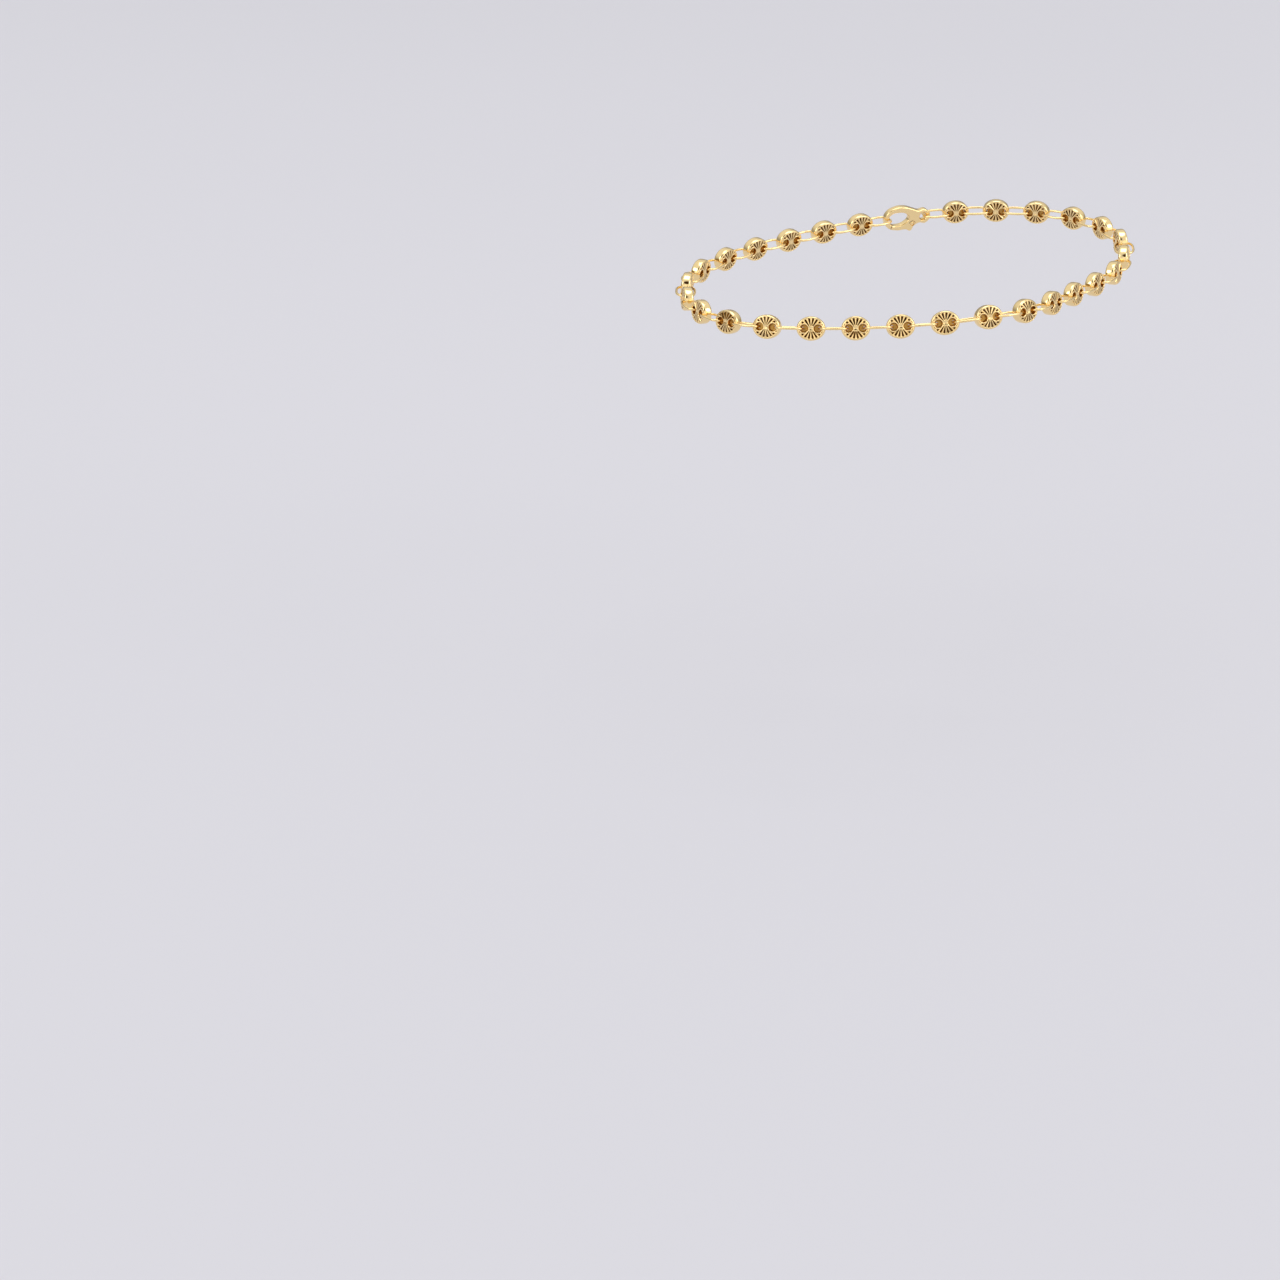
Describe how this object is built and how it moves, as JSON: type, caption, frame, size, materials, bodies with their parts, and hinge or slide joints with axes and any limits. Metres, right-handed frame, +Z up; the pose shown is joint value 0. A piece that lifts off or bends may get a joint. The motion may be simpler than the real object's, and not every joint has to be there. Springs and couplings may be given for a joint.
{
  "type": "chain anklet",
  "caption": "Yellow gold anklet: fluted oval puffed links with two round eyes each, joined edge-on by thin oval wire rings and closed by a claw clasp, shaped as worn round an ankle.",
  "frame": {"origin": "middle of the loop, at the height of the chain's mid-line, where the ankle's axis passes", "axes": "+X along the longest extent of the loop, -Y the side seen in the picture, +Z up the leg"},
  "size_m": [0.0983, 0.0706, 0.0097],
  "materials": {
    "yellow_gold": "polished yellow gold, bright-cut faces on the puffed links"
  },
  "bodies": {
    "root": {"clasp": "yellow_gold", "puffed_link_01": "yellow_gold", "puffed_link_02": "yellow_gold", "puffed_link_03": "yellow_gold", "puffed_link_04": "yellow_gold", "puffed_link_05": "yellow_gold", "puffed_link_06": "yellow_gold", "puffed_link_07": "yellow_gold", "puffed_link_08": "yellow_gold", "puffed_link_09": "yellow_gold", "puffed_link_10": "yellow_gold", "puffed_link_11": "yellow_gold", "puffed_link_12": "yellow_gold", "puffed_link_13": "yellow_gold", "puffed_link_14": "yellow_gold", "puffed_link_15": "yellow_gold", "puffed_link_16": "yellow_gold", "puffed_link_17": "yellow_gold", "puffed_link_18": "yellow_gold", "puffed_link_19": "yellow_gold", "puffed_link_20": "yellow_gold", "puffed_link_21": "yellow_gold", "puffed_link_22": "yellow_gold", "puffed_link_23": "yellow_gold", "puffed_link_24": "yellow_gold", "puffed_link_25": "yellow_gold", "puffed_link_26": "yellow_gold", "puffed_link_27": "yellow_gold", "puffed_link_28": "yellow_gold", "wire_ring_01": "yellow_gold", "wire_ring_02": "yellow_gold", "wire_ring_03": "yellow_gold", "wire_ring_04": "yellow_gold", "wire_ring_05": "yellow_gold", "wire_ring_06": "yellow_gold", "wire_ring_07": "yellow_gold", "wire_ring_08": "yellow_gold", "wire_ring_09": "yellow_gold", "wire_ring_10": "yellow_gold", "wire_ring_11": "yellow_gold", "wire_ring_12": "yellow_gold", "wire_ring_13": "yellow_gold", "wire_ring_14": "yellow_gold", "wire_ring_15": "yellow_gold", "wire_ring_16": "yellow_gold", "wire_ring_17": "yellow_gold", "wire_ring_18": "yellow_gold", "wire_ring_19": "yellow_gold", "wire_ring_20": "yellow_gold", "wire_ring_21": "yellow_gold", "wire_ring_22": "yellow_gold", "wire_ring_23": "yellow_gold", "wire_ring_24": "yellow_gold", "wire_ring_25": "yellow_gold", "wire_ring_26": "yellow_gold", "wire_ring_27": "yellow_gold", "wire_ring_28": "yellow_gold", "wire_ring_29": "yellow_gold"}
  },
  "joints": []
}
